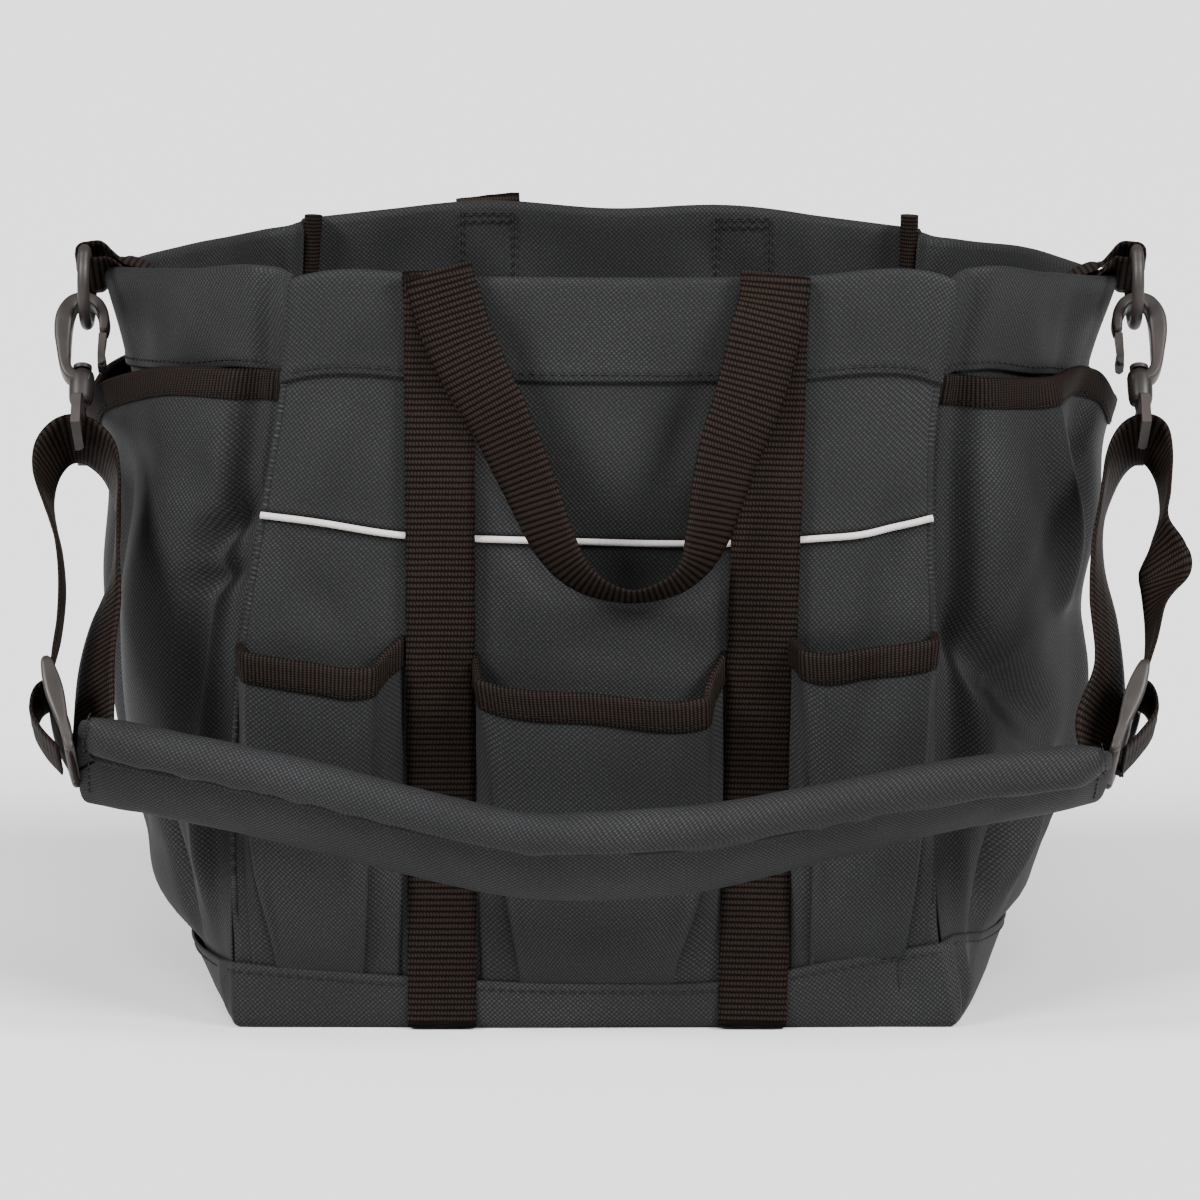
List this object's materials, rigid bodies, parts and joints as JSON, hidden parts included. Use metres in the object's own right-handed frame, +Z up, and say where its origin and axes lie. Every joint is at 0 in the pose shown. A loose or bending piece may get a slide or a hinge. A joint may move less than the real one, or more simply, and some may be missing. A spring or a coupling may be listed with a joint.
{
  "type": "garden tool bag",
  "caption": "Open-topped fabric tool bag with outside pockets, two webbing handles and a padded shoulder strap clipped to its ends.",
  "frame": {"origin": "middle of the base, on the surface that the bag stands on", "axes": "+X along the bag towards its right end as seen from the front, -Y out of the front, +Z up"},
  "size_m": [0.4172, 0.2857, 0.2793],
  "materials": {
    "fabric": "woven charcoal polyester with a fine plain weave",
    "webbing": "ribbed dark brown webbing",
    "binding": "ribbed dark brown binding tape",
    "piping": "light warm grey fabric piping",
    "hardware": "dark brown moulded plastic, satin",
    "foam": "soft foam",
    "board": "stiff plastic board"
  },
  "bodies": {
    "bag": {"back_left_pocket": "fabric", "back_left_pocket_binding": "binding", "back_left_webbing": "webbing", "back_lower_panel": "fabric", "back_middle_pocket": "fabric", "back_middle_pocket_binding": "binding", "back_piping": "piping", "back_right_pocket": "fabric", "back_right_pocket_binding": "binding", "back_right_webbing": "webbing", "back_rim_band": "fabric", "back_upper_panel": "fabric", "base_board": "board", "base_left_webbing": "webbing", "base_panel": "fabric", "base_right_webbing": "webbing", "front_left_pocket": "fabric", "front_left_pocket_binding": "binding", "front_left_webbing": "webbing", "front_lower_panel": "fabric", "front_middle_pocket": "fabric", "front_middle_pocket_binding": "binding", "front_piping": "piping", "front_right_pocket": "fabric", "front_right_pocket_binding": "binding", "front_right_webbing": "webbing", "front_rim_band": "fabric", "front_upper_panel": "fabric", "left_end_panel": "fabric", "left_end_pocket": "fabric", "left_end_pocket_binding": "binding", "left_rim_band": "fabric", "left_ring_tab": "webbing", "left_seam_binding": "binding", "right_end_panel": "fabric", "right_end_pocket": "fabric", "right_end_pocket_binding": "binding", "right_rim_band": "fabric", "right_ring_tab": "webbing", "right_seam_binding": "binding"},
    "front_handle": {"front_handle": "webbing"},
    "back_handle": {"back_handle": "webbing"},
    "shoulder_strap": {"pad_cover": "fabric", "pad_foam": "foam", "pad_webbing": "webbing", "left_ring_loop": "webbing", "left_swivel_eye": "hardware", "left_strap_loop": "webbing", "left_slider": "hardware", "right_ring_loop": "webbing", "right_swivel_eye": "hardware", "right_strap_loop": "webbing", "right_slider": "hardware"},
    "left_d_ring": {"left_d_ring": "hardware"},
    "right_d_ring": {"right_d_ring": "hardware"},
    "left_hook": {"left_hook": "hardware"},
    "right_hook": {"right_hook": "hardware"},
    "left_gate": {"left_hook_gate": "hardware"},
    "right_gate": {"right_hook_gate": "hardware"}
  },
  "joints": [
    {"name": "front_handle_swing", "type": "hinge", "parent": "bag", "child": "front_handle", "pos_m": [0, -0.1024, 0.2792], "axis": [-1, 0, 0], "range_deg": [0, 190]},
    {"name": "back_handle_swing", "type": "hinge", "parent": "bag", "child": "back_handle", "pos_m": [0, 0.1024, 0.2792], "axis": [1, 0, 0], "range_deg": [0, 190]},
    {"name": "shoulder_strap_swing", "type": "hinge", "parent": "bag", "child": "shoulder_strap", "pos_m": [0, 0, 0.268], "axis": [-1, 0, 0], "range_deg": [0, 180]},
    {"name": "left_ring_tilt", "type": "hinge", "parent": "shoulder_strap", "child": "left_d_ring", "pos_m": [-0.196, 0, 0.268], "axis": [0, 0.788, -0.6157], "range_deg": [-2.5, 2.5]},
    {"name": "left_hook_swivel", "type": "hinge", "parent": "shoulder_strap", "child": "left_hook", "pos_m": [-0.196, -0.03078, 0.2286], "axis": [0, 0.6157, 0.788], "range_deg": [-10, 10]},
    {"name": "left_gate_press", "type": "hinge", "parent": "left_hook", "child": "left_gate", "pos_m": [-0.189, -0.02623, 0.23443], "axis": [0, -0.788, 0.6157], "range_deg": [0, 20], "stiffness_Nm_per_rad": 0.02},
    {"name": "right_ring_tilt", "type": "hinge", "parent": "shoulder_strap", "child": "right_d_ring", "pos_m": [0.196, 0, 0.268], "axis": [0, 0.788, -0.6157], "range_deg": [-2.5, 2.5]},
    {"name": "right_hook_swivel", "type": "hinge", "parent": "shoulder_strap", "child": "right_hook", "pos_m": [0.196, -0.03078, 0.2286], "axis": [0, 0.6157, 0.788], "range_deg": [-10, 10]},
    {"name": "right_gate_press", "type": "hinge", "parent": "right_hook", "child": "right_gate", "pos_m": [0.189, -0.02623, 0.23443], "axis": [0, 0.788, -0.6157], "range_deg": [0, 20], "stiffness_Nm_per_rad": 0.02}
  ]
}
